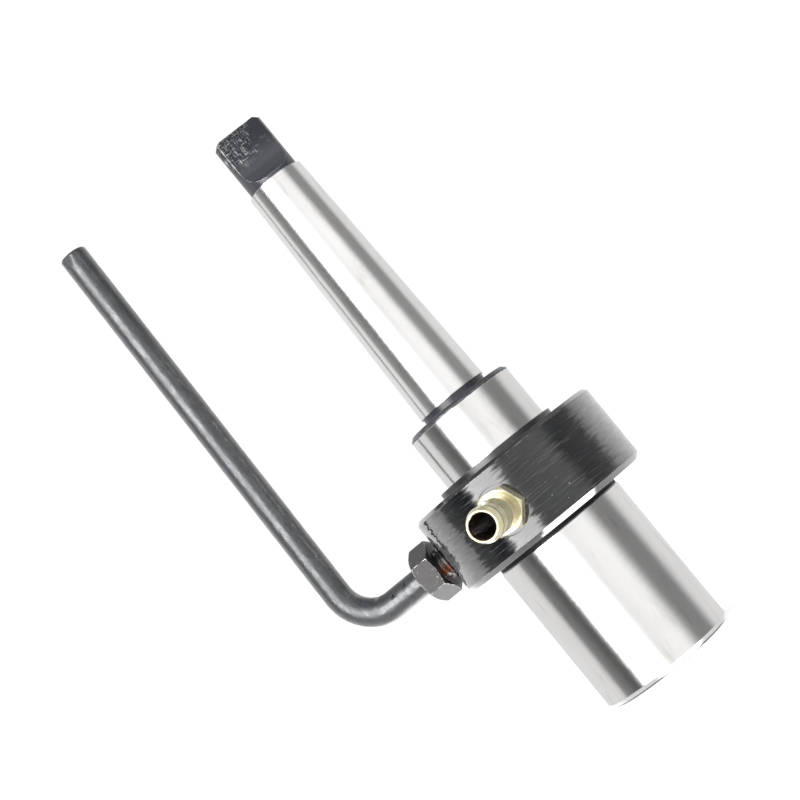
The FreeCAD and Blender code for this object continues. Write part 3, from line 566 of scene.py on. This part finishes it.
def oxide_material(name, base, rough, ior=1.7, wear_share=0.5):
    """Plain black oxide with worn corners."""
    n = material_nodes(name)
    fine = n.noise(1800, EVEN, 4.0, 0.6)
    worn = n.times(n.edge(0.2 * MM), n.spots(0.45, 0.65, 700, EVEN, 3.0, 0.6))
    wear = n.times(worn, wear_share)
    colour = n.mix(wear, grey(base, -0.02), grey(0.6))
    normal = n.bump(fine, 0.01 * MM, n.rounded(0.1 * MM))
    return n.surface(colour, n.span(fine, rough - 0.05, rough + 0.07), wear, normal, ior=ior)


def rubber_material():
    n = material_nodes("nitrile_rubber")
    fine = n.noise(2500, EVEN, 4.0, 0.6)
    colour = n.mix(fine, grey(0.010), grey(0.028))
    return n.surface(colour, n.span(fine, 0.42, 0.60), 0.0, n.bump(fine, 0.02 * MM))


def plain_steel_material(name, base, low, high, lines):
    """Turned or drawn steel that isn't ground."""
    n = material_nodes(name)
    marks = n.noise(1200, lines, 3.0, 0.6)
    tone = n.mix(n.noise(200, EVEN, 3.0, 0.6), grey(base * 0.85), grey(base))
    normal = n.bump(marks, 0.01 * MM, n.rounded(0.12 * MM))
    return n.surface(tone, n.span(marks, low, high), 1.0, normal)


def floor_material():
    """White sweep, lit a little from within so that it stays as pale as in a product photograph."""
    n = material_nodes("white_sweep")
    cloud = n.noise(6)
    return n.finish(n.shader("ShaderNodeBsdfPrincipled", {
        "Base Color": n.mix(cloud, grey(0.86), grey(0.90)), "Roughness": n.span(cloud, 0.75, 0.9),
        "Emission Color": WHITE, "Emission Strength": FLOOR_GLOW}))


def dress(node, material):
    """Give a CAD node its material."""
    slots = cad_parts[node].data.materials
    slots.clear()
    slots.append(material)


def mesh_object(name, build, material):
    """A new smooth-shaded piece, whose mesh the build function fills."""
    mesh = bpy.data.meshes.new(name)
    shape = bmesh.new()
    build(shape)
    bmesh.ops.recalc_face_normals(shape, faces=shape.faces)
    shape.to_mesh(mesh)
    shape.free()
    for face in mesh.polygons:
        face.use_smooth = True
    mesh.materials.append(material)
    piece = bpy.data.objects.new(name, mesh)
    bpy.context.scene.collection.objects.link(piece)
    return piece


def sweep(shape, rings):
    """Skin between rings of points, with both ends closed."""
    rows = [[shape.verts.new(point) for point in ring] for ring in rings]
    count = len(rows[0])
    for first, second in zip(rows, rows[1:]):
        for index in range(count):
            after = (index + 1) % count
            shape.faces.new((first[index], first[after], second[after], second[index]))
    shape.faces.new(rows[0])
    shape.faces.new(list(reversed(rows[-1])))


def build_spring(shape):
    low = SPRING_LOW[Z]
    high = SPRING_HIGH[Z]
    rise = (high - low) / SPRING_TURNS
    girth = SPRING_RADIUS * TURN
    rings = []
    for step in range(SPRING_TURNS * SPRING_STEPS + 1):
        turns = step / SPRING_STEPS
        angle = turns * TURN
        out = Vector((math.cos(angle), math.sin(angle), 0))
        ahead = Vector((-math.sin(angle) * girth, math.cos(angle) * girth, rise)).normalized()
        side = ahead.cross(out)
        centre = out * SPRING_RADIUS + Vector((0, 0, low + rise * turns))
        ring = []
        for number in range(SPRING_SIDES):
            spin = TURN * number / SPRING_SIDES
            point = centre + (out * math.cos(spin) + side * math.sin(spin)) * SPRING_WIRE / 2
            point.z = min(max(point.z, low), high)
            ring.append(point)
        rings.append(ring)
    sweep(shape, rings)


def rod_frame(distance):
    """Centre of the bar, and the way towards the inner side of the bend."""
    along = min(max(distance - SHORT_LEG, 0), BEND_LENGTH)
    turn = along / ROD_BEND
    ahead = Vector((-math.cos(turn), 0, math.sin(turn)))
    inner = Vector((math.sin(turn), 0, math.cos(turn)))
    middle = Vector((ROD_BEND_START, 0, ROD_HEIGHT + ROD_BEND))
    straight = distance - SHORT_LEG - along
    return middle - inner * ROD_BEND + ahead * straight, inner


def spoke(inner, turn):
    """The way out of the bar, turned from the inner side of the bend."""
    return inner * math.cos(turn) + Vector((0, -1, 0)) * math.sin(turn)


def thread_radius(distance, turn):
    """Ridge with a flat crest and two flanks, wound right-handed along the bar."""
    share = (distance / THREAD_PITCH + turn / TURN) % 1
    flank = min(max((abs(share - 0.5) - HALF_CREST) / FLANK, 0), 1)
    return THREAD_CREST + (THREAD_ROOT - THREAD_CREST) * flank


def rod_radius(distance, turn, point):
    """Radius of the bar's surface: thread, mottled skin, marks, bevelled tip and its flat."""
    if distance < THREAD_LENGTH:
        fade = min((THREAD_LENGTH - distance) / THREAD_RUNOUT, 1)
        return ROD_RADIUS + (thread_radius(distance, turn) - ROD_RADIUS) * fade - ROD_INSET
    skin = noise.fractal(point * SKIN_SCALE, *SKIN_NOISE) - SKIN_SHIFT
    radius = ROD_RADIUS - ROD_INSET + min(skin, 0) * SKIN_DEPTH
    for place, angle, length, width, depth in ROD_HOLES + ROD_DENTS:
        off = (turn - angle + math.pi) % TURN - math.pi
        far = ((distance - place) / length) ** 2 + (off * ROD_RADIUS / width) ** 2
        radius -= depth * math.exp(-far * far)
    left = ROD_LENGTH - distance
    radius -= max(ROD_TIP_BEVEL - left, 0)
    facing = math.cos(turn - FLAT_TURN)
    if left < FLAT_LENGTH and facing > FLAT_REACH:
        radius = min(radius, (ROD_RADIUS - (FLAT_LENGTH - left) * math.tan(FLAT_SLOPE)) / facing)
    return radius


def build_rod(shape):
    fine = THREAD_PITCH / THREAD_STEPS
    stops = [fine * number for number in range(int(THREAD_LENGTH / fine) + 1)]
    plain = ROD_LENGTH - ROD_TIP_BEVEL - THREAD_LENGTH
    count = int(plain / ROD_STEP)
    stops += [THREAD_LENGTH + plain * number / count for number in range(count)]
    stops += [ROD_LENGTH - ROD_TIP_BEVEL, ROD_LENGTH - ROD_INSET]
    rings = []
    for distance in stops:
        centre, inner = rod_frame(distance)
        ring = []
        for number in range(ROD_SIDES):
            turn = TURN * number / ROD_SIDES
            out = spoke(inner, turn)
            ring.append(centre + out * rod_radius(distance, turn, centre + out * ROD_RADIUS))
        rings.append(ring)
    sweep(shape, rings)


def make_camera():
    data = bpy.data.cameras.new("studio_camera")
    data.sensor_width = SENSOR
    data.sensor_fit = "HORIZONTAL"
    data.lens = FOCAL_PIXELS / FRAME_PIXELS * SENSOR
    data.clip_start = 0.01
    data.clip_end = 50
    camera = bpy.data.objects.new("studio_camera", data)
    bpy.context.scene.collection.objects.link(camera)
    across = Vector((math.cos(CAMERA_AZIMUTH), math.sin(CAMERA_AZIMUTH), 0))
    ahead = Vector((-math.sin(CAMERA_AZIMUTH), math.cos(CAMERA_AZIMUTH), 0))
    place = Vector((0, 0, CAMERA_HEIGHT)) - ahead * CAMERA_DISTANCE
    panned = ahead * math.cos(CAMERA_PAN) + across * math.sin(CAMERA_PAN)
    right = across * math.cos(CAMERA_PAN) - ahead * math.sin(CAMERA_PAN)
    up = Vector((0, 0, 1)) * math.cos(CAMERA_TILT) - panned * math.sin(CAMERA_TILT)
    view = panned * math.cos(CAMERA_TILT) + Vector((0, 0, 1)) * math.sin(CAMERA_TILT)
    rolled_right = right * math.cos(CAMERA_ROLL) + up * math.sin(CAMERA_ROLL)
    rolled_up = up * math.cos(CAMERA_ROLL) - right * math.sin(CAMERA_ROLL)
    turn = Matrix((rolled_right, rolled_up, -view)).transposed().to_4x4()
    camera.matrix_world = Matrix.Translation(place) @ turn
    bpy.context.scene.camera = camera


def make_world():
    """What the metal mirrors: bands round the horizon, patches underneath, and even light elsewhere."""
    world = bpy.data.worlds.new("studio")
    bpy.context.scene.world = world
    n = Nodes(world, "Generated", "ShaderNodeOutputWorld")
    z = n.part(n.place, Z)
    # bearings count from the camera's side of the part, to its right
    sine = math.sin(CAMERA_AZIMUTH)
    cosine = math.cos(CAMERA_AZIMUTH)
    right = n.vector("DOT_PRODUCT", n.place, (cosine, sine, 0))
    front = n.vector("DOT_PRODUCT", n.place, (sine, -cosine, 0))
    bearing = n.math("ARCTAN2", right, front)
    ramp = n.add("ShaderNodeValToRGB")
    n.feed(ramp.inputs[0], n.math("ADD", n.math("DIVIDE", bearing, TURN), 0.5))
    ramp.color_ramp.interpolation = "LINEAR"
    stops = ramp.color_ramp.elements
    while len(stops) > 1:
        stops.remove(stops[0])
    peak = max(stop[1] for stop in HORIZON)
    for index, (degrees, level) in enumerate(HORIZON):
        spot = (degrees + 180) / 360
        stop = stops[0] if index == 0 else stops.new(spot)
        stop.position = spot
        stop.color = grey(level / peak)
    band = n.times(ramp.outputs[0], peak)
    off_band = n.step(n.math("ABSOLUTE", n.math("SUBTRACT", z, BAND_HEIGHT)), *BAND_FADE)
    level = n.blend(off_band, band, n.span(z, *EVEN_LEVEL, *EVEN_FROM))
    low = n.math("LESS_THAN", z, PATCHES_BELOW)
    for across, behind, radius, core, bright in PATCHES:
        # distance from the middle of the patch, across and along the view, seen from above
        side = n.math("SUBTRACT", right, across)
        along = n.math("ADD", front, behind)
        patch = n.step(n.vector("LENGTH", n.join(side, along, 0.0)), radius, core)
        level = n.math("ADD", level, n.times(n.times(patch, low), bright))
    studio = n.shader("ShaderNodeBackground", {"Color": WHITE, "Strength": level})
    backdrop = n.shader("ShaderNodeBackground", {"Color": WHITE, "Strength": BACKDROP_LEVEL})
    seen = n.add("ShaderNodeLightPath").outputs["Is Camera Ray"]
    n.finish(n.feed_all(n.add("ShaderNodeMixShader"), seen, studio, backdrop))


def make_lights():
    """One large soft box overhead; it lights faces and the floor but isn't mirrored in the metal."""
    data = bpy.data.lights.new("overhead_softbox", "AREA")
    data.shape = "SQUARE"
    data.size = LAMP_SIZE
    data.energy = LAMP_POWER
    lamp = bpy.data.objects.new("overhead_softbox", data)
    lamp.location = LAMP_PLACE
    lamp.rotation_euler = (Vector(LAMP_AIM) - lamp.location).to_track_quat("-Z", "Y").to_euler()
    lamp.visible_glossy = False
    bpy.context.scene.collection.objects.link(lamp)


def make_floor():
    def build(shape):
        bmesh.ops.create_circle(shape, cap_ends=True, segments=FLOOR_SIDES, radius=FLOOR_RADIUS)

    floor = mesh_object("studio_floor", build, floor_material())
    floor.visible_glossy = False


def make_camera_and_light():
    make_camera()
    scene = bpy.context.scene
    scene.view_settings.view_transform = "Standard"
    scene.view_settings.look = "None"
    make_world()
    make_lights()
    make_floor()


make_camera_and_light()

clip_look = oxide_material("black_spring_clip", 0.018, 0.28)
seal_look = rubber_material()
screw_look = oxide_material("black_socket_screw", 0.016, 0.30)
LOOKS = {
    "arbor_body": steel_material(),
    "coolant_ring": ring_material(),
    "jam_nut": nut_material(),
    "hose_barb": brass_material(),
    # painted shade: the black oxide washer in the gap under the ring is darker and duller than the other
    # oxide, with no wear
    "thrust_washer": oxide_material("black_washer_painted_shade", 0.004, 0.5, 1.35, 0.0),
    "outer_circlip": clip_look,
    "inner_circlip": clip_look,
    "upper_seal": seal_look,
    "lower_seal": seal_look,
    "clamp_screw_right": screw_look,
    "clamp_screw_left": screw_look,
    "ejector_plunger": plain_steel_material("turned_plunger_steel", 0.55, 0.18, 0.30, (0.1, 0.1, 4)),
}
for name, look in LOOKS.items():
    dress(name, look)

rod = mesh_object("bent_stop_rod", build_rod, rod_material())
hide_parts("stop_rod")
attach(rod, "ring")

spring_look = plain_steel_material("drawn_spring_wire", 0.42, 0.22, 0.36, EVEN)
spring = mesh_object("ejector_spring_wire", build_spring, spring_look)
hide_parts("ejector_spring")
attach(spring, "arbor")
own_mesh(spring)
